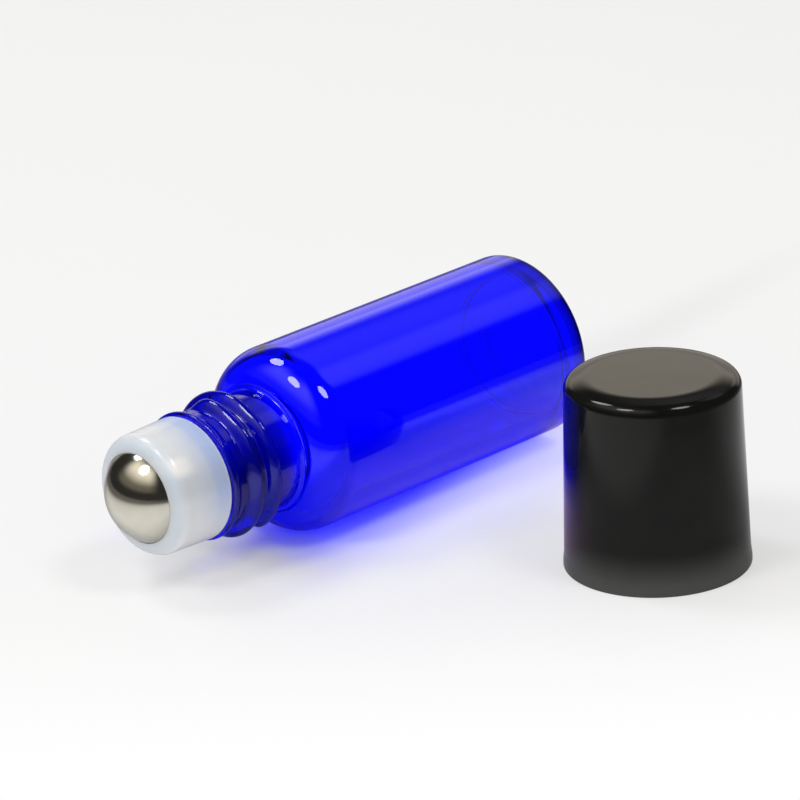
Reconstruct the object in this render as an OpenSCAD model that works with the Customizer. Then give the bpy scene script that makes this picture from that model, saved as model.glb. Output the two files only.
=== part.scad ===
// Small glass roll on bottle lying on its side, with its screw cap standing beside it.
// The bottle's axis runs along X with the ball towards -X, and everything stands on Z = 0.
// Heights along the bottle are measured from its base, and heights in the cap from its rim.

/* [Glass bottle] */
// Outside diameter of the body
body_d = 20; // [18:0.5:24]
// Height from the base to the top of the shoulder
body_h = 38.8; // [30:0.2:70]
// Radius of the shoulder, outside
shoulder_r = 4.3; // [3:0.1:4.4]
// Radius of the heel, outside
heel_r = 0.6; // [0.3:0.1:1.2]
// Thickness of the glass in the wall and the shoulder
wall = 2.1; // [1.6:0.1:2.4]
// Thickness of the glass at the middle of the base
base_t = 1.2; // [1:0.1:4]
// Radius between the base and the wall, inside
floor_r = 1; // [0.6:0.1:4]
// Diameter of the push-up under the base
punt_d = 13; // [8:0.5:15]
// Height of the push-up under the base
punt_h = 0.8; // [0.4:0.1:1.4]

/* [Neck] */
// Height of the neck from the shoulder to the lip
neck_h = 9.7; // [9:0.1:14]
// Diameter of the neck between the turns of its thread
neck_d = 12.8; // [12.4:0.1:13.4]
// Diameter over the thread, which the cap has to pass
thread_d = 15.1; // [14.2:0.1:15.8]
// Bore of the neck
neck_bore_d = 9.5; // [9:0.1:10.2]
// Diameter over the bead round the lip
lip_bead_d = 13.7; // [13.4:0.1:14.4]
// Radius of the bead round the lip
lip_bead_r = 0.6; // [0.4:0.05:0.8]
// Radius where the neck leaves the shoulder
root_r = 0.5; // [0.2:0.1:0.9]
// Radius at both ends of the neck's bore
throat_r = 1; // [0.2:0.1:1.1]

/* [Roller housing] */
// Diameter of the collar where it sits on the lip
collar_d = 13.2; // [12.9:0.1:13.6]
// Diameter of the collar at its front edge
collar_front_d = 12.8; // [12.6:0.1:13.1]
// Height of the collar's side
collar_h = 6.6; // [5.8:0.1:7]
// Radius of the collar's front edge
collar_edge_r = 0.6; // [0.3:0.1:0.8]
// Radius of the collar's back edge
collar_back_r = 0.55; // [0.1:0.05:0.7]
// Height of the retaining lip above the collar's side
lip_rise = 0.55; // [0.4:0.05:0.9]
// Length of the plug in the neck
plug_h = 6.7; // [5:0.1:8.4]
// Gap round the plug between its beads
plug_gap = 0.25; // [0.15:0.05:0.4]
// Thickness of the plug's wall
plug_wall = 0.9; // [0.6:0.1:1.2]
// Length of the lead-in at the plug's end
lead_in_h = 1.2; // [0.6:0.1:1.6]
// Depth of the lead-in at the plug's end
lead_in = 0.45; // [0.2:0.05:0.6]
// Number of sealing beads on the plug
seal_count = 3; // [2:1:4]
// Distance between sealing beads
seal_pitch = 1.3; // [1.1:0.1:1.5]
// Radius of a sealing bead
seal_r = 0.4; // [0.3:0.05:0.5]
// Thickness of the web behind the ball
web_t = 0.8; // [0.5:0.1:1.2]
// Number of feed holes round the middle one
feed_count = 6; // [3:1:8]
// Diameter of the feed holes
feed_d = 1.1; // [0.7:0.1:1.4]
// Distance of the feed holes from the middle
feed_r = 2.3; // [2:0.1:2.6]

/* [Ball] */
// Diameter of the ball
ball_d = 11; // [10.6:0.1:11.2]
// Height of the ball above the retaining lip
ball_rise = 2.7; // [2.2:0.1:3.2]

/* [Cap] */
// Diameter of the cap at its rim
cap_d = 19; // [18.4:0.1:20]
// Diameter of the cap at its top, before the edge is rounded
cap_top_d = 17.9; // [17:0.1:18.4]
// Radius of the cap's top edge
cap_edge_r = 1.2; // [0.6:0.1:1.6]
// Diameter of the flat in the middle of the cap's top
cap_flat_d = 14.2; // [10:0.2:15]
// How far the cap's top falls from its flat to its edge
cap_fall = 0.46; // [0.1:0.02:0.8]
// Radius between the cap's flat and its fall
cap_fall_r = 5; // [1:0.5:6]
// Thickness of the cap's top
cap_top_t = 1.05; // [0.8:0.05:2]
// Height of the fine bead round the rim
rim_bead_h = 0.5; // [0.3:0.1:0.8]
// How far the fine bead stands out of the cap's side
rim_bead = 0.1; // [0.05:0.05:0.2]
// Depth of the lead-in of the cap's bore
cap_lead = 0.4; // [0.2:0.1:0.6]
// Diameter of the ring that holds the ball shut, at the middle of its wall
seat_d = 6; // [5:0.2:7]
// Thickness of the ring that holds the ball shut
seat_t = 0.8; // [0.6:0.1:1.2]

/* [Fits] */
// Gap between the ball and its socket
ball_gap = 0.05; // [0.03:0.01:0.08]
// Gap between the retaining lip's edge and the ball's socket
mouth_gap = 0.06; // [0.04:0.01:0.12]
// Gap between the sealing beads and the neck's bore
seal_gap = 0.05; // [0.03:0.01:0.08]
// Gap between the thread and the cap's bore
thread_gap = 0.15; // [0.1:0.05:0.3]
// Gap between the collar and the cap's chamber
chamber_gap = 0.25; // [0.15:0.05:0.4]
// Gap between the shoulder and the rim of the closed cap
cap_gap = 0.6; // [0.3:0.1:1.2]
// Gap between the ball and the top of the closed cap
head_gap = 0.3; // [0.1:0.05:0.6]

/* [Layout] */
// Distance from the bottle's base to the middle of the cap, along the bottle
cap_along = 17.6; // [0:0.2:40]
// Distance from the bottle's axis to the middle of the cap, across the bottle
cap_across = 35.7; // [24:0.1:60]

/* [Hidden] */
$fn = 96;

// Largest angle between the points of an arc
arc_step = 7.5;

// How far a cut runs past the faces that it opens
overrun = body_d / 20;

// Radii of the glass
body_r = body_d / 2;
cavity_r = body_r - wall;
neck_r = neck_d / 2;
neck_bore_r = neck_bore_d / 2;
lip_r = lip_bead_d / 2 - lip_bead_r;
punt_r = punt_d / 2;
punt_sphere_r = (punt_r * punt_r + punt_h * punt_h) / (2 * punt_h);

// Heights along the bottle, from its base
floor_s = punt_h + base_t;
roof_s = body_h - wall;
lip_s = body_h + neck_h;
edge_s = lip_s + collar_h;
mouth_s = edge_s + lip_rise;
tip_s = mouth_s + ball_rise;
plug_s = lip_s - plug_h;

// The ball and its socket
ball_r = ball_d / 2;
ball_s = tip_s - ball_r;
socket_r = ball_r + ball_gap;
mouth_r = sqrt(pow(socket_r, 2) - pow(mouth_s - ball_s, 2)) + mouth_gap;

// The collar, the plug and its beads
collar_r = collar_d / 2;
collar_front_r = collar_front_d / 2;
plug_r = neck_bore_r - plug_gap;
plug_hollow_r = plug_r - plug_wall;
seal_ring_r = neck_bore_r - seal_gap - seal_r;
seal_s = plug_s + lead_in_h + seal_r;

// The cap, which closes with its rim a gap above the shoulder
rim_s = body_h + cap_gap;
cap_h = tip_s + head_gap + cap_top_t - rim_s;
cap_r = cap_d / 2;
cap_top_r = cap_top_d / 2;
cap_flat_r = cap_flat_d / 2;
shoulder_c = cap_h - cap_fall;
cap_rim_r = cap_r + rim_bead;
cap_bore_r = thread_d / 2 + thread_gap;
chamber_r = collar_r + chamber_gap;
step_c = lip_s + thread_gap - rim_s;
chamber_c = step_c + cap_bore_r - chamber_r;
ceiling_c = cap_h - cap_top_t;

// Places on the ground, with the middle of the whole at X = 0 and Y = 0
base_x = tip_s / 2;
bottle_y = (cap_across + cap_rim_r - body_r) / 2;
cap_x = base_x - cap_along;
cap_y = bottle_y - cap_across;

// Points along an arc about c, from one angle to another
function arc(c, r, from, to) =
  let (
    steps = ceil(abs(to - from) / arc_step),
    step = (to - from) / steps
  )
  [for (i = [0 : steps]) c + r * [cos(from + i * step), sin(from + i * step)]];

// Directions of the edges that lead back and on from corner i, and the way that an edge's side faces
function unit(v) = v / norm(v);
function back_edge(p, i) = unit(p[(i + len(p) - 1) % len(p)] - p[i]);
function front_edge(p, i) = unit(p[(i + 1) % len(p)] - p[i]);
function facing(edge) = atan2(-edge.x, edge.y);

// Corner i of a convex outline, rounded to the radius r
function corner(p, i, r) =
  r == 0
  ? [p[i]]
  : let (
      back = back_edge(p, i),
      front = front_edge(p, i),
      half = acos(back * front) / 2,
      centre = p[i] + unit(back + front) * r / sin(half)
    )
    arc(centre, r, facing(-back), facing(-back) + 180 - 2 * half);

// Convex outline, counterclockwise, whose corners are rounded to the given radii
function outline(p, radii) = [for (i = [0 : len(p) - 1]) each corner(p, i, radii[i])];

// Half outline of a round vessel from the middle of its base to the foot of its neck. A root radius
// joins the neck to the shoulder's top, or to its round where the neck is wider than the top
function vessel(r, low, high, low_round, high_round, neck, root) =
  let (
    turn = [r - high_round, high - high_round],
    beyond = max(0, neck + root - turn.x),
    bend = [neck + root, turn.y + sqrt(pow(high_round + root, 2) - pow(beyond, 2))],
    shoulder_end = beyond > 0 ? atan2(bend.y - turn.y, beyond) : 90
  )
  concat(
    [[0, low]],
    arc([r - low_round, low + low_round], low_round, -90, 0),
    arc(turn, high_round, 0, shoulder_end),
    arc(bend, root, shoulder_end + 180, 180)
  );

module along_bottle() {
  translate([base_x, bottle_y, body_r]) rotate([0, -90, 0]) children();
}

// The glass: body with a push-up base, round shoulder, and a neck that ends in a bead
module bottle_section() {
  bead = [lip_r, lip_s - lip_bead_r];
  mouth = [neck_bore_r + throat_r, lip_s - throat_r];
  bead_foot = -acos((neck_r - lip_r) / lip_bead_r);
  difference() {
    polygon(concat(
      vessel(body_r, 0, body_h, heel_r, shoulder_r, neck_r, root_r),
      arc(bead, lip_bead_r, bead_foot, 90),
      [[0, lip_s]]
    ));
    polygon(concat(
      vessel(cavity_r, floor_s, roof_s, floor_r, shoulder_r - wall, neck_bore_r, throat_r),
      arc(mouth, throat_r, 180, 90),
      [[mouth.x, lip_s + overrun], [0, lip_s + overrun]]
    ));
    translate([0, punt_h - punt_sphere_r]) circle(r = punt_sphere_r);
  }
}

module bottle() {
  color([0.03, 0.03, 0.75, 0.7]) along_bottle() rotate_extrude() bottle_section();
}

// The housing's solid form: a collar that narrows to its front, and a plug with sealing beads
module housing_form() {
  polygon(outline(
    [[0, lip_s], [collar_r, lip_s], [collar_front_r, edge_s], [mouth_r, mouth_s], [0, mouth_s]],
    [0, collar_back_r, collar_edge_r, 0, 0]
  ));
  polygon([
    [0, plug_s],
    [plug_r - lead_in, plug_s],
    [plug_r, plug_s + lead_in_h],
    [plug_r, lip_s + overrun],
    [0, lip_s + overrun]
  ]);
  for (i = [0 : seal_count - 1]) {
    translate([seal_ring_r, seal_s + i * seal_pitch]) circle(r = seal_r);
  }
}

// Half section of the housing: a socket that holds the ball past its middle, over a domed web
module housing_section() {
  difference() {
    housing_form();
    translate([0, ball_s]) circle(r = socket_r);
    translate([0, ball_s]) square([mouth_r, tip_s - ball_s]);
    difference() {
      translate([0, plug_s - overrun]) square([plug_hollow_r, ball_s - plug_s + overrun]);
      translate([0, ball_s]) circle(r = socket_r + web_t);
    }
  }
}

module roller_housing() {
  color([0.88, 0.9, 0.94, 0.9]) along_bottle() difference() {
    rotate_extrude() housing_section();
    translate([0, 0, plug_s]) cylinder(d = feed_d, h = ball_s - plug_s);
    for (i = [0 : feed_count - 1]) {
      rotate(360 * (i + 0.5) / feed_count)
        translate([feed_r, 0, plug_s]) cylinder(d = feed_d, h = ball_s - plug_s);
    }
  }
}

module roller_ball() {
  color([0.8, 0.8, 0.78]) along_bottle() translate([0, 0, ball_s]) sphere(d = ball_d);
}

// Room inside the cap: lead-in, bore round the thread, step, and a chamber round the collar
module cap_room() {
  polygon([
    [0, -overrun],
    [cap_bore_r + cap_lead + overrun, -overrun],
    [cap_bore_r, cap_lead],
    [cap_bore_r, step_c],
    [chamber_r, chamber_c],
    [chamber_r, ceiling_c],
    [0, ceiling_c]
  ]);
}

// Ring under the cap's top, cut to the ball that it holds shut
module cap_seat() {
  difference() {
    translate([(seat_d - seat_t) / 2, chamber_c]) square([seat_t, cap_h - cap_top_t / 2 - chamber_c]);
    translate([0, ball_s - rim_s]) circle(r = socket_r);
    square([chamber_r, ball_s - rim_s]);
  }
}

module cap_section() {
  difference() {
    union() {
      polygon(outline(
        [[0, 0], [cap_r, 0], [cap_top_r, shoulder_c], [cap_flat_r, cap_h], [0, cap_h]],
        [0, 0, cap_edge_r, cap_fall_r, 0]
      ));
      polygon(outline(
        [[0, 0], [cap_rim_r, 0], [cap_rim_r, rim_bead_h], [0, rim_bead_h]],
        [0, rim_bead, rim_bead, 0]
      ));
    }
    difference() {
      cap_room();
      cap_seat();
    }
  }
}

module cap() {
  color([0.03, 0.03, 0.03]) translate([cap_x, cap_y, 0]) rotate_extrude() cap_section();
}

bottle();
roller_housing();
roller_ball();
cap();
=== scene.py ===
"""Small glass roll on bottle lying on its side, with its screw cap standing beside it.

Lengths are in metres, in the frame of the CAD model: X along the bottle from the ball to the base,
Y from the cap to the bottle, Z up. Names that end in _S are heights along the bottle from its base,
and names that end in _C or _c are heights in the cap from its rim. Angles round the bottle start at
-Y and reach the top at a quarter turn.
"""

import math

import bpy
import numpy as np
from mathutils import Matrix, Vector


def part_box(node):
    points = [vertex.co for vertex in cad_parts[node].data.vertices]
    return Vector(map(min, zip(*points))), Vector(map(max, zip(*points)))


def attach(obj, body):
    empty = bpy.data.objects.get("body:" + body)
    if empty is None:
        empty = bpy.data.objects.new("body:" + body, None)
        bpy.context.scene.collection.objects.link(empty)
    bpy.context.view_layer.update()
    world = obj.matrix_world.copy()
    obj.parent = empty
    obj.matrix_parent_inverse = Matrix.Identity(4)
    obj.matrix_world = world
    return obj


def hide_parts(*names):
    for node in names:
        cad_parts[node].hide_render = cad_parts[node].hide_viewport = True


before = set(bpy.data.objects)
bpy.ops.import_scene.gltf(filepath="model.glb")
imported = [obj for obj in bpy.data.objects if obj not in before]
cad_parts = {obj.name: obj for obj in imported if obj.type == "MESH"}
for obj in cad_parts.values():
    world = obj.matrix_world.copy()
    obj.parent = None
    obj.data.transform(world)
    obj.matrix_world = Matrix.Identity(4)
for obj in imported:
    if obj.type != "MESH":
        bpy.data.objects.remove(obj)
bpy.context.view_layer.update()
MM = 0.001

# Sizes that the frame gives

bottle_low, bottle_high = (np.array(corner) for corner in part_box("bottle"))
housing_low, housing_high = (np.array(corner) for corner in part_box("roller_housing"))
ball_low, ball_high = (np.array(corner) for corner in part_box("roller_ball"))
cap_low, cap_high = (np.array(corner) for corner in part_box("cap"))

BASE_X = bottle_high[0]
BODY_R = (bottle_high[2] - bottle_low[2]) / 2
AXIS_Y, AXIS_Z = (bottle_high[1:] + bottle_low[1:]) / 2
LIP_S = BASE_X - bottle_low[0]
PLUG_S = BASE_X - housing_high[0]
MOUTH_S = BASE_X - housing_low[0]
BALL_R = (ball_high[0] - ball_low[0]) / 2
BALL_S = BASE_X - (ball_high[0] + ball_low[0]) / 2
CAP_H = cap_high[2]
CAP_RIM_R = (cap_high[0] - cap_low[0]) / 2
CAP_X, CAP_Y = (cap_high[:2] + cap_low[:2]) / 2

# Sizes inside those boxes

BODY_H = 38.8 * MM
SHOULDER_R = 4.3 * MM
HEEL_R = 0.6 * MM
WALL = 2.1 * MM
BASE_T = 1.2 * MM
FLOOR_R = 1.0 * MM
PUNT_R = 6.5 * MM
PUNT_H = 0.8 * MM
NECK_R = 6.4 * MM
ROOT_R = 0.5 * MM
NECK_BORE_R = 4.75 * MM
THROAT_R = 1.0 * MM
LIP_EDGE_R = 0.25 * MM

LIP_BEAD_S = 48.15 * MM
LIP_BEAD_OUT = 0.45 * MM
LIP_BEAD_HALF = 0.8 * MM
THREAD_OUT = 1.1 * MM
THREAD_HALF = 1.05 * MM
THREAD_START_S = 42.1 * MM
THREAD_RISES = ((-110, 10, 0.87 * MM), (105, 310, 2.3 * MM))
THREAD_FROM, THREAD_TO, THREAD_FADE = -75, 465, 15
RIDGE_POWER = 1.4
MOULD_SEAMS = (62, 245)
SEAM_WIDTH, SEAM_DIP = 11, 0.12

COLLAR_R = 6.6 * MM
COLLAR_FRONT_R = 6.4 * MM
COLLAR_EDGE_S = 55.1 * MM
COLLAR_EDGE_R = 1.4 * MM
COLLAR_BACK_R = 0.55 * MM
MOUTH_R = 4.85 * MM
SOCKET_R = BALL_R + 0.05 * MM
WEB_T = 0.8 * MM
PLUG_R = 4.5 * MM
PLUG_WALL = 0.9 * MM
LEAD_IN_H, LEAD_IN = 1.2 * MM, 0.45 * MM
EDGE_R, COLLAR_GAP = 0.04 * MM, 0.04 * MM
SEALS, SEAL_S, SEAL_PITCH = 3, 43.4 * MM, 1.3 * MM
SEAL_OUT, SEAL_HALF = 0.2 * MM, 0.38 * MM
FEED_R, FEED_HOLE_R, FEED_COUNT = 2.3 * MM, 0.55 * MM, 6
DRILL_DEPTH, DRILL_SIDES, DRILL_TURN = 4 * MM, 48, 0.01

CAP_R = 9.5 * MM
CAP_TOP_R = 8.95 * MM
CAP_EDGE_R = 1.2 * MM
CAP_FLAT_R, CAP_FALL, CAP_FALL_R = 7.1 * MM, 0.46 * MM, 5.0 * MM
CAP_TOP_T = 1.05 * MM
RIM_BEAD_H = 0.5 * MM
RIM_FLARE_R = 2 * MM
RIM_S = BODY_H + 0.6 * MM
CAP_BORE_R = 7.7 * MM
CAP_LEAD = 0.4 * MM
CHAMBER_R = 6.85 * MM
STEP_C = LIP_S + 0.15 * MM - RIM_S
SEAT_R, SEAT_T = 3.0 * MM, 0.8 * MM
CAP_THREAD_OUT, CAP_THREAD_HALF = 0.7 * MM, 0.85 * MM
CAP_THREAD_BELOW = 1.15 * MM

# Spacing of the meshes: degrees in a round, lengths along an outline, and steps round a piece.
# A stretch over LONG gets its two guard points, and GUARD is also how near counts as on a wall.

ROUND_STEP = 4
GUARD, LONG = 0.04 * MM, 0.6 * MM
COARSE, FINE, BORE_FINE, COLLAR_FINE = 0.9 * MM, 0.13 * MM, 0.195 * MM, 0.26 * MM
TURN_STEPS, BOTTLE_STEPS = 240, 224
PUNT_STEPS, BALL_STEPS = 13, 128
WELD_GAP = 0.001 * MM
TABLE_HALF, TABLE_DROP = 1.5, 0.01 * MM


# Outlines: arrays of (radius, height) points


def arc(centre, radius, start, end):
    """Points centre + radius * (cos a, sin a) for angles a in degrees from start to end."""
    steps = max(3, math.ceil(abs(end - start) / ROUND_STEP))
    angles = np.radians(np.linspace(start, end, steps + 1))
    across = centre[0] + radius * np.cos(angles)
    return np.column_stack([across, centre[1] + radius * np.sin(angles)])


def rounded(corners, radii):
    """Outline through the corners, each rounded to its radius.

    The centre of a round lies r / sin(half the corner's angle) along the bisector. With u and v for
    the directions of its two tangent points, phi apart, a point at the share k of the way lies
    r (sin((1 - k) phi) u + sin(k phi) v) / sin(phi) from the centre.
    """
    corners = np.array(corners, float)
    pieces = [corners[:1]]
    for before, corner, after, radius in zip(corners, corners[1:], corners[2:], radii[1:]):
        back = (before - corner) / np.linalg.norm(before - corner)
        onward = (after - corner) / np.linalg.norm(after - corner)
        half = math.acos(np.clip(back @ onward, -1, 1)) / 2
        if radius == 0:
            pieces.append(corner[None])
            continue
        bisector = (back + onward) / np.linalg.norm(back + onward)
        centre = corner + bisector * radius / math.sin(half)
        reach = radius / math.tan(half)
        first = (corner + back * reach - centre) / radius
        last = (corner + onward * reach - centre) / radius
        phi = math.pi - 2 * half
        steps = max(3, math.ceil(math.degrees(phi) / ROUND_STEP))
        share = np.linspace(0, 1, steps + 1)[:, None]
        turn = (np.sin((1 - share) * phi) * first + np.sin(share * phi) * last) / math.sin(phi)
        pieces.append(centre + radius * turn)
    pieces.append(corners[-1:])
    return np.vstack(pieces)


def filled(outline, spacing):
    """The outline with points added along it, at most the spacing apart.

    Each long straight stretch also gets a point at the guard distance from either end, which keeps
    the shading of a round off the flat beside it.
    """
    reach = np.concatenate([[0], np.cumsum(np.linalg.norm(np.diff(outline, axis=0), axis=1))])
    long = np.flatnonzero(np.diff(reach) > LONG)
    stops = np.sort(np.concatenate([reach, reach[long] + GUARD, reach[long + 1] - GUARD]))
    steps = np.diff(stops)
    counts = np.maximum(1, np.ceil(steps / spacing).astype(int))
    order = np.arange(counts.sum()) - np.repeat(np.cumsum(counts) - counts, counts)
    start, step = np.repeat(stops[:-1], counts), np.repeat(steps, counts)
    at = start + order / np.repeat(counts, counts) * step
    at = np.append(at, stops[-1])
    return np.column_stack([np.interp(at, reach, column) for column in outline.T])


def neck_bend(radius, high, high_round, neck, root):
    """Centres of a shoulder's round and of the neck's round, and the angle at which they meet.

    The neck's round touches both the neck's side and the shoulder's round, or its flat top.
    """
    turn = np.array([radius - high_round, high - high_round])
    beyond = max(0, neck + root - turn[0])
    bend = np.array([neck + root, turn[1] + math.sqrt((high_round + root) ** 2 - beyond**2)])
    meet = math.degrees(math.atan2(bend[1] - turn[1], beyond)) if beyond > 0 else 90
    return turn, bend, meet


def bottle_outline():
    """Section of the glass: from the middle of its base up to the lip, and down inside it."""
    dome_r = (PUNT_R**2 + PUNT_H**2) / (2 * PUNT_H)
    dome_x = np.linspace(0, PUNT_R, PUNT_STEPS + 1)
    dome = np.column_stack([dome_x, PUNT_H - dome_r + np.sqrt(dome_r**2 - dome_x**2)])
    turn, bend, meet = neck_bend(BODY_R, BODY_H, SHOULDER_R, NECK_R, ROOT_R)
    low = np.vstack([
        dome,
        arc((BODY_R - HEEL_R, HEEL_R), HEEL_R, -90, 0),
        arc(turn, SHOULDER_R, 0, meet),
        arc(bend, ROOT_R, meet + 180, 180),
    ])
    lip = rounded(
        [
            bend - (ROOT_R, 0),
            (NECK_R, LIP_S),
            (NECK_BORE_R, LIP_S),
            (NECK_BORE_R, LIP_S - 2 * THROAT_R),
        ],
        [0, LIP_EDGE_R, THROAT_R, 0],
    )
    cavity_r, floor_s, roof_s = BODY_R - WALL, PUNT_H + BASE_T, BODY_H - WALL
    turn, bend, meet = neck_bend(cavity_r, roof_s, SHOULDER_R - WALL, NECK_BORE_R, THROAT_R)
    inside = np.vstack([
        arc(bend, THROAT_R, 180, meet + 180),
        arc(turn, SHOULDER_R - WALL, meet, 0),
        arc((cavity_r - FLOOR_R, floor_s + FLOOR_R), FLOOR_R, 0, -90),
        [[0, floor_s]],
    ])
    return np.vstack([filled(low, COARSE), filled(lip, FINE)[1:-1], filled(inside, COARSE)])


def housing_outline():
    """Section of the housing: socket, retaining lip, collar, plug, and hollow behind the web."""
    mouth_angle = math.degrees(math.asin((MOUTH_S - BALL_S) / SOCKET_R))
    mouth = math.sqrt(SOCKET_R**2 - (MOUTH_S - BALL_S) ** 2)
    socket = arc((0, BALL_S), SOCKET_R, -90, mouth_angle)
    hollow_r = PLUG_R - PLUG_WALL
    web_r = SOCKET_R + WEB_T
    web_angle = math.degrees(math.acos(hollow_r / web_r))
    outside = rounded(
        [
            (mouth, MOUTH_S),
            (MOUTH_R, MOUTH_S),
            (COLLAR_FRONT_R, COLLAR_EDGE_S),
            (COLLAR_R, LIP_S + COLLAR_GAP),
            (PLUG_R, LIP_S + COLLAR_GAP),
            (PLUG_R, PLUG_S + LEAD_IN_H),
            (PLUG_R - LEAD_IN, PLUG_S),
            (hollow_r, PLUG_S),
            (hollow_r, BALL_S - web_r * math.sin(math.radians(web_angle))),
        ],
        [0, 0, COLLAR_EDGE_R, COLLAR_BACK_R, EDGE_R, EDGE_R, EDGE_R, EDGE_R, 0],
    )
    web = arc((0, BALL_S), web_r, -web_angle, -90)
    outside = filled(outside, COLLAR_FINE)[1:-1]
    return np.vstack([filled(socket, COARSE), outside, filled(web, COARSE)])


def cap_outline():
    """Section of the cap: top, side, flared rim, bore, chamber, and ring that holds the ball."""
    ceiling = CAP_H - CAP_TOP_T
    chamber_c = STEP_C + CAP_BORE_R - CHAMBER_R
    ball_c = BALL_S - RIM_S
    seat_out, seat_in = SEAT_R + SEAT_T / 2, SEAT_R - SEAT_T / 2
    bead = CAP_RIM_R - CAP_R
    side = CAP_R - (CAP_R - CAP_TOP_R) * RIM_BEAD_H / CAP_H
    outside = rounded(
        [
            (0, CAP_H),
            (CAP_FLAT_R, CAP_H),
            (CAP_TOP_R, CAP_H - CAP_FALL),
            (side, 3 * RIM_BEAD_H),
            (CAP_RIM_R, RIM_BEAD_H),
            (CAP_RIM_R, 0),
            (CAP_BORE_R + CAP_LEAD, 0),
        ],
        [0, CAP_FALL_R, CAP_EDGE_R, RIM_FLARE_R, bead, bead, 0],
    )
    bore = rounded(
        [(CAP_BORE_R + CAP_LEAD, 0), (CAP_BORE_R, CAP_LEAD), (CAP_BORE_R, STEP_C)],
        [0, EDGE_R, 0],
    )
    inside = rounded(
        [
            (CAP_BORE_R, STEP_C),
            (CHAMBER_R, chamber_c),
            (CHAMBER_R, ceiling),
            (seat_out, ceiling),
            (seat_out, ball_c + math.sqrt(SOCKET_R**2 - seat_out**2)),
            (seat_in, ball_c + math.sqrt(SOCKET_R**2 - seat_in**2)),
            (seat_in, ceiling),
            (0, ceiling),
        ],
        [0, 2 * EDGE_R, 4 * EDGE_R, 2 * EDGE_R, EDGE_R, EDGE_R, 2 * EDGE_R, 0],
    )
    bore = filled(bore, BORE_FINE)[1:]
    return np.vstack([filled(outside, COARSE), bore, filled(inside, COARSE)[1:]])


# Threads


def smooth(value, low, high):
    """0 up to low, 1 from high, and 3 t^2 - 2 t^3 between, where t runs from 0 to 1."""
    t = np.clip((value - low) / (high - low), 0, 1)
    return t * t * (3 - 2 * t)


def ridge(offset, half):
    """1 at the crest and 0 from the half width on: 1 - (offset / half)^2, to the ridge's power."""
    return np.clip(1 - (offset / half) ** 2, 0, None) ** RIDGE_POWER


def thread(height, angle, half, below=0.0):
    """Share of its depth to which a right-hand thread stands at each height and angle in degrees.

    Along a turn the crest's height is its start plus one smooth step on each side of the mould. The
    share is the ridge of the distance from that crest, times a smooth fade at either end of the
    thread. Where two turns meet the larger one counts, and a Gaussian dip lowers the share where
    the mould's halves meet.
    """
    shape = np.zeros(np.broadcast(height, angle).shape)
    for turn in (-360, 0, 360):
        along = angle + turn
        climb = sum(rise * smooth(along, start, end) for start, end, rise in THREAD_RISES)
        crest = THREAD_START_S - below + climb
        ends = smooth(along, THREAD_FROM - THREAD_FADE, THREAD_FROM + THREAD_FADE)
        ends = ends * (1 - smooth(along, THREAD_TO - THREAD_FADE, THREAD_TO + THREAD_FADE))
        shape = np.maximum(shape, ridge(height - crest, half) * ends)
    for seam in MOULD_SEAMS:
        shape = shape * (1 - SEAM_DIP * np.exp(-(((angle - seam) / SEAM_WIDTH) ** 2)))
    return shape


# Meshes


def lying(radius, height, angle):
    """Places round the bottle's axis: x falls with height, the angle runs from -Y to the top."""
    y = AXIS_Y - radius * np.cos(angle)
    z = AXIS_Z + radius * np.sin(angle)
    return np.stack([BASE_X - height, y, z], axis=-1)


def standing(radius, height, angle):
    """Places round the cap's upright axis."""
    x = CAP_X + radius * np.cos(angle)
    y = CAP_Y + radius * np.sin(angle)
    return np.stack([x, y, height], axis=-1)


def closed_mesh(name, points, body, node, finish):
    """Turned piece from a grid of points: rows run along its outline and columns round it.

    The first and last rows lie on the axis, so each becomes one point with a fan of triangles. The
    sum of a . (b x c) over three corners of the faces tells whether they face outwards, and turns
    them if not.
    """
    rows, columns = points.shape[:2]
    ring = points[1:-1].reshape(-1, 3)
    verts = np.vstack([points[0, :1], ring, points[-1, :1]])
    index = 1 + np.arange((rows - 2) * columns).reshape(rows - 2, columns)
    after = np.roll(index, -1, axis=1)
    quads = np.stack([index[:-1], index[1:], after[1:], after[:-1]], axis=-1).reshape(-1, 4)
    first = np.stack([np.zeros(columns, int), index[0], after[0]], axis=-1)
    last = np.stack([np.full(columns, len(verts) - 1), after[-1], index[-1]], axis=-1)
    corners = verts[quads] - verts.mean(axis=0)
    a, b, c = corners[:, 0], corners[:, 1], corners[:, 2]
    if np.einsum("ij,ij->i", a, np.cross(b, c)).sum() < 0:
        quads, first, last = quads[:, ::-1], first[:, ::-1], last[:, ::-1]
    mesh = bpy.data.meshes.new(name)
    mesh.from_pydata(verts.tolist(), [], quads.tolist() + first.tolist() + last.tolist())
    mesh.validate()
    mesh.shade_smooth()
    mesh.materials.append(finish)
    piece = bpy.data.objects.new(name, mesh)
    bpy.context.scene.collection.objects.link(piece)
    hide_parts(node)
    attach(piece, body)
    return piece


def turned(outline, steps=TURN_STEPS):
    """Radius, height and angle grids of an outline that is turned once round its axis."""
    angle = np.linspace(0, 2 * math.pi, steps, endpoint=False)[None, :]
    return outline[:, :1] + 0 * angle, outline[:, 1:] + 0 * angle, angle + 0 * outline[:, :1]


def make_bottle(finish):
    """Turned glass with the thread and the bead round the lip.

    On the outside of the neck the larger of the thread's depth times its share and the bead's depth
    times its ridge is added to the radius.
    """
    radius, height, angle = turned(bottle_outline(), BOTTLE_STEPS)
    neck = (radius > (NECK_R + NECK_BORE_R) / 2) & (height > BODY_H)
    turns = THREAD_OUT * thread(height, np.degrees(angle), THREAD_HALF)
    bead = LIP_BEAD_OUT * ridge(height - LIP_BEAD_S, LIP_BEAD_HALF)
    radius = radius + np.where(neck, np.maximum(turns, bead), 0)
    points = lying(radius, height, angle)
    return closed_mesh("glass_bottle", points, "bottle", "bottle", finish)


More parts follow.
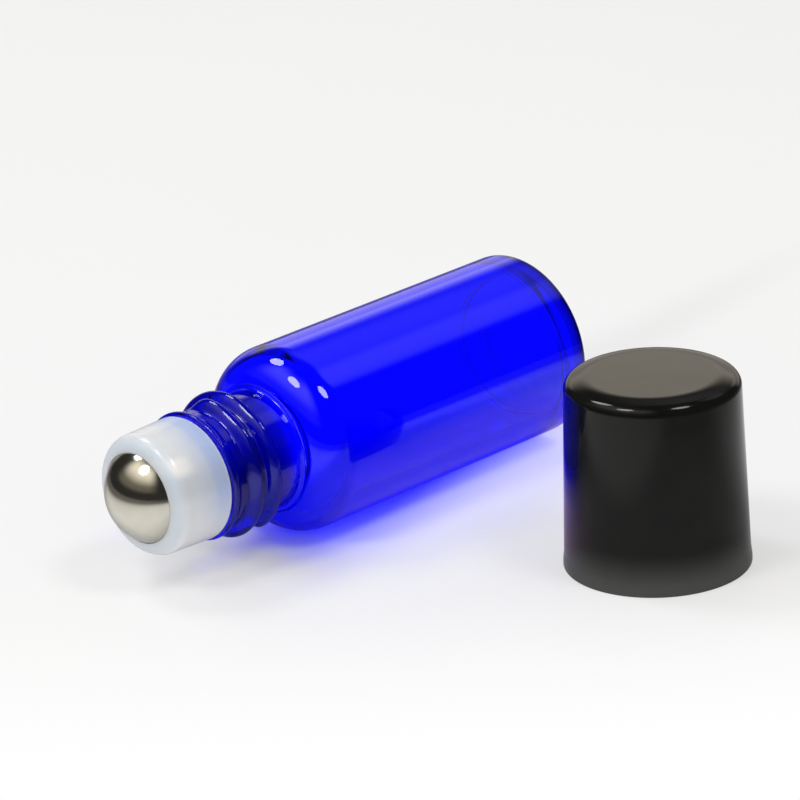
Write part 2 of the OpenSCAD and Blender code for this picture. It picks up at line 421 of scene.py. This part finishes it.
def drilled(piece, across, up):
    """Cuts a feed hole, so far off the bottle's axis, through the web of the piece.

    The drill is turned a little about its own axis, so that none of its edges lies on an edge of
    the web, and points that fall together are welded.
    """
    drill = Matrix.Translation((BASE_X - BALL_S + SOCKET_R, AXIS_Y + across, AXIS_Z + up))
    drill = drill @ Matrix.Rotation(math.pi / 2, 4, "Y") @ Matrix.Rotation(DRILL_TURN, 4, "Z")
    bpy.ops.mesh.primitive_cylinder_add(vertices=DRILL_SIDES, radius=FEED_HOLE_R, depth=DRILL_DEPTH)
    cutter = bpy.context.object
    cutter.data.transform(drill)
    cut = piece.modifiers.new("hole", "BOOLEAN")
    cut.operation, cut.solver, cut.object = "DIFFERENCE", "EXACT", cutter
    weld = piece.modifiers.new("weld", "WELD")
    weld.merge_threshold = WELD_GAP
    ready = piece.evaluated_get(bpy.context.evaluated_depsgraph_get())
    mesh = bpy.data.meshes.new_from_object(ready)
    piece.modifiers.clear()
    piece.data = mesh
    bpy.data.objects.remove(cutter)


def make_housing(finish):
    """Turned housing with sealing beads on its plug, and feed holes cut through its web.

    The beads' depth times the sum of their ridges along the plug is added to its radius. One feed
    hole is in the middle, and the others are spaced evenly on a circle.
    """
    radius, height, angle = turned(housing_outline())
    plug = (radius > PLUG_R - GUARD) & (height < LIP_S)
    seals = sum(ridge(height - SEAL_S - i * SEAL_PITCH, SEAL_HALF) for i in range(SEALS))
    radius = radius + np.where(plug, SEAL_OUT * seals, 0)
    points = lying(radius, height, angle)
    piece = closed_mesh(
        "milky_roller_housing", points, "housing", "roller_housing", finish
    )
    drilled(piece, 0, 0)
    for i in range(FEED_COUNT):
        turn = i * 2 * math.pi / FEED_COUNT
        drilled(piece, FEED_R * math.cos(turn), FEED_R * math.sin(turn))
    return piece


def make_ball(finish):
    """Sphere on a grid of two angles: radius R sin(a), height R cos(a) above its middle."""
    polar = np.linspace(0, math.pi, BALL_STEPS + 1)
    outline = np.column_stack([BALL_R * np.sin(polar), BALL_S + BALL_R * np.cos(polar)])
    points = lying(*turned(outline))
    return closed_mesh("steel_ball", points, "ball", "roller_ball", finish)


def make_cap(finish):
    """Turned cap whose bore carries the thread that runs below the neck's.

    The thread's depth times its share, at the height that the cap's bore has on the bottle when the
    cap is on, is taken from the bore's radius.
    """
    radius, height, angle = turned(cap_outline())
    bore = (abs(radius - CAP_BORE_R) < GUARD) & (height < STEP_C)
    turns = thread(height + RIM_S, np.degrees(angle), CAP_THREAD_HALF, CAP_THREAD_BELOW)
    radius = radius - np.where(bore, CAP_THREAD_OUT * turns, 0)
    points = standing(radius, height, angle)
    return closed_mesh("black_screw_cap", points, "cap", "cap", finish)


# Finishes. Colours are linear red, green, blue and alpha, and a glow's reach is red, green, blue.


class Wire:
    """An output of a node. An expression on wires adds the Math nodes that work it out."""

    def __init__(self, sheet, socket):
        self.sheet, self.socket = sheet, socket

    def maths(self, operation, *values):
        """The Math node of this operation on the values."""
        return self.sheet.node("ShaderNodeMath", {"operation": operation}, dict(enumerate(values)))

    def __add__(self, other):
        return self.maths("ADD", self, other)

    def __radd__(self, other):
        return self.maths("ADD", other, self)

    def __sub__(self, other):
        return self.maths("SUBTRACT", self, other)

    def __rsub__(self, other):
        return self.maths("SUBTRACT", other, self)

    def __mul__(self, other):
        return self.maths("MULTIPLY", self, other)

    def __rmul__(self, other):
        return self.maths("MULTIPLY", other, self)

    def __truediv__(self, other):
        return self.maths("DIVIDE", self, other)

    def __rtruediv__(self, other):
        return self.maths("DIVIDE", other, self)

    def __pow__(self, other):
        return self.maths("POWER", self, other)

    def at_least(self, other):
        """The greater of the two values."""
        return self.maths("MAXIMUM", self, other)

    def above(self, other):
        """1 where the value is greater, and else 0."""
        return self.maths("GREATER_THAN", self, other)

    def between(self, low, high):
        """Smooth step of the value from low to high."""
        settings = {"interpolation_type": "SMOOTHSTEP"}
        inputs = {0: self, 1: low, 2: high, 3: 0.0, 4: 1.0}
        return self.sheet.node("ShaderNodeMapRange", settings, inputs)


class Sheet:
    """The node tree of a finish, of the table or of the room."""

    def __init__(self, tree):
        self.tree = tree

    def feed(self, socket, value):
        """Links a wire to a socket, or sets the socket to a value."""
        if isinstance(value, Wire):
            self.tree.links.new(value.socket, socket)
        else:
            socket.default_value = value

    def node(self, kind, settings=(), inputs=(), output=0):
        """Adds a node with its settings, and its inputs by name or number, values or wires."""
        node = self.tree.nodes.new(kind)
        for name, value in dict(settings).items():
            setattr(node, name, value)
        for key, value in dict(inputs).items():
            self.feed(node.inputs[key], value)
        return Wire(self, node.outputs[output])

    def place(self):
        """Object coordinates."""
        return self.node("ShaderNodeTexCoord", output=3)

    def light_path(self, kind):
        """1 for rays of this kind and 0 for others, or how often a ray was turned in this way."""
        return self.node("ShaderNodeLightPath", output=kind)

    def parts(self, vector):
        """The three numbers of a vector."""
        split = self.node("ShaderNodeSeparateXYZ", (), {0: vector}).socket.node
        return [Wire(self, output) for output in split.outputs]

    def stretched(self, vector, scale):
        """The vector with each of its numbers multiplied by its own scale."""
        return self.node("ShaderNodeVectorMath", {"operation": "MULTIPLY"}, {0: vector, 1: scale})

    def noise(self, vector, scale, detail):
        """Soft noise from 0 to 1, with this many waves to a metre and further octaves."""
        inputs = {"Vector": vector, "Scale": scale, "Detail": detail}
        return self.node("ShaderNodeTexNoise", (), inputs)

    def blend(self, share, first, second):
        """Colour between two colours."""
        inputs = {0: share, 6: first, 7: second}
        return self.node("ShaderNodeMix", {"data_type": "RGBA"}, inputs, output=2)

    def either(self, share, shader, other):
        """The light of a shader, and for this share of it the light of the other."""
        inputs = {0: share, 1: Wire(self, shader.outputs[0]), 2: other}
        return self.node("ShaderNodeMixShader", (), inputs)

    def output(self, name, value):
        """Feeds an input of the material's output."""
        self.feed(self.tree.nodes["Material Output"].inputs[name], value)

    def dress(self, shader, colour, roughness, waves, depth):
        """Feeds a shader its colour, its roughness, and the waves on its surface, so deep."""
        inputs = {"Height": waves, "Distance": depth, "Strength": 1.0}
        bump = self.node("ShaderNodeBump", (), inputs)
        self.feed(shader.inputs["Base Color"], colour)
        self.feed(shader.inputs["Roughness"], roughness)
        self.feed(shader.inputs["Normal"], bump)


def finish_sheet(name, constants):
    """New material whose shader has these constants on its sockets, its sheet, and that shader."""
    material = bpy.data.materials.new(name)
    material.use_nodes = True
    sheet = Sheet(material.node_tree)
    shader = material.node_tree.nodes["Principled BSDF"]
    for socket, value in constants.items():
        shader.inputs[socket].default_value = value
    return material, sheet, shader


GLASS_DEPTH, GLASS_DENSITY = (0.0, 0.0, 0.985, 1), 700.0
GLASS_THROUGH = (0.1, 0.1, 1.0, 1)
GLASS_POLISH, GLASS_SMUDGE = (0.03, 0.02, 1.0, 1), (0.05, 0.04, 1.0, 1)
# Painted shade for the neck, lighter by its lip, and a painted dark reflection for the heel.
GLASS_NECK_PAINTED_SHADE_LOW, GLASS_NECK_PAINTED_SHADE_TOP = (0.01, 0.005, 0.16, 1), (0.01, 0.005, 0.42, 1)
GLASS_NECK_PAINTED_SHADE_LIP, GLASS_HEEL_PAINTED_DARK = (0.015, 0.008, 0.8, 1), (0.001, 0.001, 0.02, 1)


def cobalt_glass():
    """Clear cobalt glass with faint waves from the mould and odd smudges on its polish.

    The neck has painted shade, darker below and paler towards its lip, and a dull bore; the heel
    has a painted dark reflection on its upper side. Light caught in the wall goes straight through.
    """
    constants = {"IOR": 1.52, "Transmission Weight": 1.0}
    material, sheet, shader = finish_sheet("cobalt_glass", constants)
    place = sheet.place()
    x, y, z = sheet.parts(place)
    s, across, up = BASE_X - x, y - AXIS_Y, z - AXIS_Z
    off_axis = (across * across + up * up) ** 0.5

    inputs = {"Color": GLASS_DEPTH, "Density": GLASS_DENSITY}
    sheet.output("Volume", sheet.node("ShaderNodeVolumeAbsorption", (), inputs))
    through = sheet.node("ShaderNodeBsdfTransparent", (), {"Color": GLASS_THROUGH})
    trapped = sheet.light_path("Glossy Depth").above(2.5) * s.above(2.0 * MM)
    shaded = sheet.light_path("Is Shadow Ray").at_least(trapped)
    sheet.output("Surface", sheet.either(shaded, shader, through))

    waves = sheet.noise(place, 90.0, 1.0)
    smudges = sheet.noise(place, 210.0, 3.0).between(0.56, 0.78)
    clear = sheet.blend(smudges * 0.2, GLASS_POLISH, GLASS_SMUDGE)
    # Painted dark reflection along the heel's upper side.
    heel = 1 - s.between(0.5 * MM, 1.7 * MM)
    heel = heel * off_axis.between(BODY_R - HEEL_R, BODY_R - 0.6 * HEEL_R)
    clear = sheet.blend(heel * (up - across).between(2 * MM, 9 * MM), clear, GLASS_HEEL_PAINTED_DARK)
    # Painted shade on the neck: darker on its lower side, lighter towards the lip.
    neck_painted_shade = sheet.blend(up.between(-4 * MM, 5 * MM), GLASS_NECK_PAINTED_SHADE_LOW, GLASS_NECK_PAINTED_SHADE_TOP)
    neck_painted_shade = sheet.blend(s.between(44 * MM, 48 * MM) * 0.6, neck_painted_shade, GLASS_NECK_PAINTED_SHADE_LIP)
    neck = s.between(BODY_H - 0.4 * MM, BODY_H + 2.5 * MM)
    bore = 1 - off_axis.between(NECK_BORE_R + 0.1 * MM, NECK_BORE_R + 0.3 * MM)
    bore = bore * s.between(BODY_H, BODY_H + MM)
    roughness = 0.015 + smudges * 0.02 + bore * 0.4
    sheet.dress(shader, sheet.blend(neck, clear, neck_painted_shade), roughness, waves, 0.008 * MM)
    return material


MILK, MILK_CLOUD = (0.70, 0.725, 0.76, 1), (0.82, 0.83, 0.84, 1)
# Painted light and shade: blue light from the glass, a blue band, light on the back edge, shade on
# the plug, light below, a dark streak, a highlight, and bluish light by the ball.
MILK_PAINTED_GLASS_BLUE, MILK_PAINTED_BLUE_BAND = (0.44, 0.54, 0.80, 1), (0.38, 0.5, 0.86, 1)
MILK_PAINTED_EDGE_LIGHT, MILK_PLUG_PAINTED_SHADE = (0.85, 0.86, 0.92, 1), (0.6, 0.63, 0.7, 1)
MILK_PAINTED_LIGHT_BELOW, MILK_PAINTED_DARK_STREAK = (1.0, 1.0, 1.0, 1), (0.42, 0.46, 0.53, 1)
MILK_PAINTED_HIGHLIGHT, MILK_PAINTED_BALL_BLUE = (1.0, 0.99, 0.96, 1), (0.68, 0.76, 0.86, 1)
MILK_GLOW = (1.0, 1.05, 1.2)


def milky_plastic():
    """Soft translucent plastic, cloudy and brushed, with painted blue light over the glass and by
    the ball.

    Each painted tint lies over the ones before it. Along the bottle they follow the height s, a
    little adrift: painted blue light from the glass, a painted blue band and painted light on the
    edge at the collar's back, painted bluish light at the collar's front, and painted shade on the
    plug, partly from its thinner wall. Round it they follow the level above its axis: painted light
    below, and on the near side a painted dark streak with a painted highlight above it.
    """
    constants = {
        "IOR": 1.5,
        "Subsurface Weight": 0.6,
        "Subsurface Radius": MILK_GLOW,
        "Subsurface Scale": 0.7 * MM,
    }
    material, sheet, shader = finish_sheet("milky_plastic", constants)
    place = sheet.place()
    x, y, z = sheet.parts(place)
    cloud = sheet.noise(place, 260.0, 3.0)
    drift = (sheet.noise(place, 420.0, 2.0) - 0.5) * (0.7 * MM)
    streaks = sheet.noise(sheet.stretched(place, (0.12, 1.0, 1.0)), 2600.0, 2.0)
    s, level = BASE_X - x, z - AXIS_Z
    up, near_side = level + drift * 0.3, (AXIS_Y - y).between(0.0, 3 * MM)

    # Painted blue light from the glass, fading towards the collar's front.
    painted_glass_blue = 1 - (s + drift).between(LIP_S + 0.6 * MM, LIP_S + 5.2 * MM)
    # Painted blue band at the collar's back.
    band = 1 - (s + drift * 0.5).between(LIP_S + 1.7 * MM, LIP_S + 2.6 * MM)
    # Painted light on the lower side.
    below = 1 - level.between(-5 * MM, 1.5 * MM)
    # Painted dark streak on the near side, a dark reflection.
    dull = up.between(0.2 * MM, 1.8 * MM) * (1 - up.between(2.4 * MM, 4.4 * MM)) * near_side
    # Painted highlight on the near side, above the dark streak.
    painted_highlight = up.between(2.9 * MM, 3.9 * MM) * (1 - up.between(4.4 * MM, 5.2 * MM))
    painted_highlight = painted_highlight * near_side * s.between(52 * MM, 54 * MM)
    # Painted light along the collar's back edge.
    edge = 1 - s.between(LIP_S + 0.35 * MM, LIP_S + 0.6 * MM)
    # Painted bluish light at the collar's front, by the ball.
    front = (s + drift * 0.3).between(COLLAR_EDGE_S - 0.5 * MM, COLLAR_EDGE_S + 0.2 * MM)
    # Painted shade on the plug inside the glass, partly from its thinner wall.
    plug = 1 - s.between(LIP_S - 0.1 * MM, LIP_S)
    painted_tints = (
        (painted_glass_blue, 0.75, MILK_PAINTED_GLASS_BLUE),
        (band, 0.4, MILK_PAINTED_BLUE_BAND),
        (below, 0.8, MILK_PAINTED_LIGHT_BELOW),
        (dull, 0.3, MILK_PAINTED_DARK_STREAK),
        (painted_highlight, 0.85, MILK_PAINTED_HIGHLIGHT),
        (edge, 0.8, MILK_PAINTED_EDGE_LIGHT),
        (front, 0.7, MILK_PAINTED_BALL_BLUE),
        (plug, 1.0, MILK_PLUG_PAINTED_SHADE),
    )
    colour = sheet.blend(cloud, MILK, MILK_CLOUD)
    for share, strength, tint in painted_tints:
        colour = sheet.blend(share * strength, colour, tint)
    sheet.dress(shader, colour, 0.16 + 0.14 * cloud, streaks + 0.5 * cloud, 0.01 * MM)
    return material


STEEL, STEEL_HAZE = (0.64, 0.62, 0.54, 1), (0.72, 0.7, 0.61, 1)


def polished_steel():
    """Ground and polished steel with the faintest of scratches and a warm grey colour."""
    material, sheet, shader = finish_sheet("polished_steel", {"Metallic": 1.0})
    place = sheet.place()
    haze = sheet.noise(place, 900.0, 3.0)
    scratches = sheet.noise(sheet.stretched(place, (1.0, 0.06, 1.0)), 5200.0, 2.0)
    colour = sheet.blend(haze, STEEL, STEEL_HAZE)
    sheet.dress(shader, colour, 0.11 + 0.03 * haze, scratches, 0.0001 * MM)
    return material


BLACK, BLACK_HAZE = (0.004, 0.004, 0.004, 1), (0.009, 0.009, 0.008, 1)
BLACK_PAINTED_RIM_LIGHT = (0.08, 0.08, 0.077, 1)


def black_plastic():
    """Gloss black plastic with faint sink and flow waves and a soft haze, and painted light that
    makes it paler towards the rim.
    """
    constants = {"IOR": 1.5, "Specular IOR Level": 0.28}
    material, sheet, shader = finish_sheet("black_plastic", constants)
    place = sheet.place()
    haze = sheet.noise(place, 350.0, 4.0)
    waves = sheet.noise(place, 120.0, 2.0)
    height = sheet.parts(place)[2]
    # Painted light that makes the cap paler towards its rim.
    low = 1 - (height + haze * 0.5 * MM).between(0.2 * MM, 5 * MM)
    colour = sheet.blend(low, sheet.blend(haze, BLACK, BLACK_HAZE), BLACK_PAINTED_RIM_LIGHT)
    sheet.dress(shader, colour, 0.06 + 0.06 * haze, waves, 0.02 * MM)
    return material


# Studio


def direction(azimuth, elevation):
    """Unit vector: azimuth 0 is -Y and 90 is +X, in degrees."""
    a, e = math.radians(azimuth), math.radians(elevation)
    return Vector((math.sin(a) * math.cos(e), -math.cos(a) * math.cos(e), math.sin(e)))


CAMERA_AT = Vector((-316.414, -322.849, 192.9)) * MM
CAMERA_AZIMUTH, CAMERA_ELEVATION, CAMERA_ROLL = -43.86, 21.27, 3.0
CAMERA_LENS, CAMERA_SENSOR = 215.685, 36.0
CAMERA_NEAREST, CAMERA_FARTHEST = 0.01, 10.0


def make_camera():
    """Camera at the photo's place: its back points along azimuth and elevation, then it rolls."""
    back = direction(CAMERA_AZIMUTH, CAMERA_ELEVATION)
    level = Vector((0, 0, 1)).cross(back).normalized()
    upright = back.cross(level)
    roll = math.radians(CAMERA_ROLL)
    right = level * math.cos(roll) - upright * math.sin(roll)
    up = upright * math.cos(roll) + level * math.sin(roll)
    data = bpy.data.cameras.new("camera")
    data.lens, data.sensor_width = CAMERA_LENS, CAMERA_SENSOR
    data.clip_start, data.clip_end = CAMERA_NEAREST, CAMERA_FARTHEST
    camera = bpy.data.objects.new("camera", data)
    turn = Matrix((right, up, back)).transposed().to_4x4()
    camera.matrix_world = Matrix.Translation(CAMERA_AT) @ turn
    bpy.context.scene.collection.objects.link(camera)
    bpy.context.scene.camera = camera


# Name, azimuth, elevation, radiance and colour of each lamp

LAMPS = (
    ("window_lamp", -168, 56.5, 10.0, (0.94, 0.98, 1.0)),
    ("key_lamp", -97, 58, 11.0, (1.0, 0.98, 0.95)),
    ("near_lamp", 11, 60, 10.0, (1.0, 0.99, 0.97)),
)
LAMP_SIZE, LAMP_DISTANCE = 0.2, 0.7
LAMPS_AIM = Vector((0.0, 0.0, 0.01))


def make_lamps():
    """Round soft lamps that face the object. The power of each is its radiance x area x pi."""
    for name, azimuth, elevation, radiance, colour in LAMPS:
        data = bpy.data.lights.new(name, "AREA")
        data.shape, data.size = "DISK", LAMP_SIZE
        data.energy = radiance * math.pi * math.pi * (LAMP_SIZE / 2) ** 2
        data.color = colour
        lamp = bpy.data.objects.new(name, data)
        toward = direction(azimuth, elevation)
        lamp.location = LAMPS_AIM + toward * LAMP_DISTANCE
        lamp.rotation_euler = toward.to_track_quat("Z", "Y").to_euler()
        bpy.context.scene.collection.objects.link(lamp)


ROOM_DARK, ROOM_SHELF = (0.03, 0.03, 0.03, 1), (0.3, 0.29, 0.3, 1)
ROOM_SPOT = (0.55, 0.53, 0.52, 1)
WALL_LOW, WALL_TOP = (0.17, 0.155, 0.125, 1), (1.1, 1.03, 0.9, 1)
BACKDROP_LOW, BACKDROP_TOP = (0.82, 0.74, 0.66, 1), (1.5, 1.38, 1.16, 1)
ROOM_THROUGH, ROOM_SOFT = (1.25, 1.25, 1.25, 1), (0.5, 0.5, 0.505, 1)


def make_room():
    """Room round the table: a pale backdrop behind the object and a lit wall to its left.

    Elsewhere it is dark but for a dim shelf and a spot. Through the glass it is white all round,
    and what it lends to the soft light is an even grey.
    """
    world = bpy.data.worlds.new("room")
    bpy.context.scene.world = world
    world.use_nodes = True
    sheet = Sheet(world.node_tree)
    x, y, z = sheet.parts(sheet.node("ShaderNodeTexCoord", output=0))
    level = (x * x + y * y).at_least(1e-6) ** 0.5

    def facing(azimuth):
        """Cosine of the level angle between the view and the azimuth."""
        way = direction(azimuth, 0)
        return (x * way.x + y * way.y) / level

    def about(azimuth, elevation, wide, core):
        """1 within the core angle of a direction, falling to 0 at the wide one."""
        way = direction(azimuth, elevation)
        near = x * way.x + y * way.y + z * way.z
        return near.between(math.cos(math.radians(wide)), math.cos(math.radians(core)))

    backdrop = facing(130).between(0.75, 0.9) * (1 - z.between(0.3, 0.55))
    tone = sheet.blend(z.between(0.27, 0.36), BACKDROP_LOW, BACKDROP_TOP)
    wall = facing(-100).between(0.45, 0.85) * z.between(0.2, 0.36) * (1 - z.between(0.9, 0.99))
    glow = z.between(0.41, 0.8) * (1 - 0.6 * z.between(0.83, 0.95))
    shelf = facing(102).between(0.7, 0.95) * z.between(0.42, 0.75) * (1 - z.between(0.75, 0.9))
    colour = sheet.blend(shelf, ROOM_DARK, ROOM_SHELF)
    colour = sheet.blend(about(77, 47, 14, 1), colour, ROOM_SPOT)
    colour = sheet.blend(wall, colour, sheet.blend(glow, WALL_LOW, WALL_TOP))
    colour = sheet.blend(backdrop, colour, tone)
    colour = sheet.blend(sheet.light_path("Is Transmission Ray"), colour, ROOM_THROUGH)
    soft = sheet.light_path("Diffuse Depth").above(0.5)
    background = world.node_tree.nodes["Background"]
    sheet.feed(background.inputs["Color"], sheet.blend(soft, colour, ROOM_SOFT))


TABLE, TABLE_MOTTLE, TABLE_WHITE = (0.89, 0.89, 0.89, 1), (0.91, 0.91, 0.908, 1), (1, 1, 1, 1)
TABLE_PAINTED_POOL, TABLE_PAINTED_SHADE = (0.88, 0.66, 0.88, 1), (0.05, 0.04, 0.04, 1)


def make_floor():
    """Pale table with a faint mottle.

    To the camera it is white in part: wholly in front, less farther off, and hardly in the shade
    behind the bottle. Through the glass it is white too, and brighter behind the bottle. Mirrored
    in the object it has a purplish painted pool of light beneath the bottle, painted shade round
    it, and painted shade growing darker towards the horizon.
    """
    material, sheet, shader = finish_sheet("pale_table", {"Roughness": 0.5})
    place = sheet.place()
    x, y, z = sheet.parts(place)

    mirrored = sheet.light_path("Is Glossy Ray")
    # Painted purplish pool of light beneath the bottle, seen only in reflections.
    under = mirrored * y.between(-11 * MM, -6 * MM)
    under = under * x.between(-14 * MM, -4 * MM) * (1 - x.between(30 * MM, 36 * MM))
    pale = sheet.blend(sheet.noise(place, 40.0, 3.0), TABLE, TABLE_MOTTLE)
    pale = sheet.blend(under, pale, TABLE_PAINTED_POOL)
    # Painted shade round the bottle and towards the horizon, seen only in reflections.
    around = 1 - y.between(-15 * MM, 3 * MM) * x.between(-20 * MM, 10 * MM)
    around = around * mirrored * x.between(-36 * MM, -20 * MM)
    painted_shade = around * (0.5 - 0.5 * x.between(30 * MM, 55 * MM))
    horizon = mirrored * (x * x + y * y).between(0.0015, 0.012)
    painted_shade = painted_shade + (1 - painted_shade) * horizon * 0.9
    sheet.feed(shader.inputs["Base Color"], sheet.blend(painted_shade, pale, TABLE_PAINTED_SHADE))

    bent = 1 - sheet.light_path("Diffuse Depth").above(0.5)
    bent = sheet.light_path("Is Transmission Ray") * bent
    behind = y.between(20 * MM, 30 * MM)
    strength = 1.0 + bent * (0.4 * behind - 0.2)
    inputs = {"Color": TABLE_WHITE, "Strength": strength}
    white = sheet.node("ShaderNodeEmission", (), inputs)
    way = direction(CAMERA_AZIMUTH, 0)
    near = (x * way.x + y * way.y).between(0.005, 0.05)
    shade = (y - 0.25 * x).between(3 * MM, 13 * MM) * x.between(-18 * MM, -8 * MM)
    haze = 0.42 - 0.41 * (shade * (1 - y.between(26 * MM, 36 * MM)))
    share = sheet.light_path("Is Camera Ray") * (haze + (1 - haze) * near) + bent
    sheet.output("Surface", sheet.either(share, shader, white))

    half, low = TABLE_HALF, -TABLE_DROP
    corners = [(-half, -half, low), (half, -half, low), (half, half, low), (-half, half, low)]
    mesh = bpy.data.meshes.new("table")
    mesh.from_pydata(corners, [], [(0, 1, 2, 3)])
    mesh.materials.append(material)
    floor = bpy.data.objects.new("table", mesh)
    bpy.context.scene.collection.objects.link(floor)


make_bottle(cobalt_glass())
make_housing(milky_plastic())
make_ball(polished_steel())
make_cap(black_plastic())
make_camera()
make_lamps()
make_room()
make_floor()
bpy.context.scene.view_settings.view_transform = "Standard"
